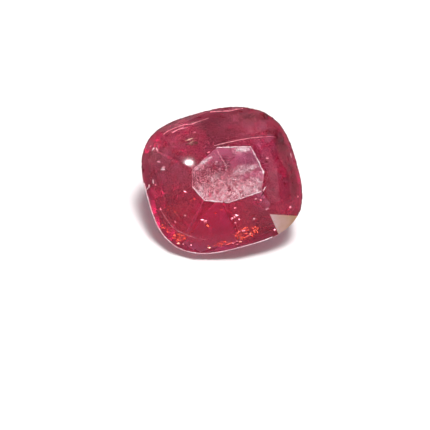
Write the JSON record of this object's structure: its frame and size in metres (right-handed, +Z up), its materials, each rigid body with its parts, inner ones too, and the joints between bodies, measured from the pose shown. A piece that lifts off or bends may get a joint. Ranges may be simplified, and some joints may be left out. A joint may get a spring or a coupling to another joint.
{
  "type": "cut spinel gemstone",
  "caption": "Cushion-cut crimson-pink spinel lying on a flat of its pavilion, a clear faceted stone with a frosted table, for display or setting.",
  "frame": {"origin": "centre of the stone's bounding box, on the surface that it lies on", "axes": "+Z up, away from the surface; -Y is the front, which the table is tipped towards"},
  "size_m": [0.008, 0.0062, 0.0049],
  "materials": {
    "spinel_crystal": "polished"
  },
  "bodies": {
    "root": {"spinel": "spinel_crystal"}
  },
  "joints": []
}
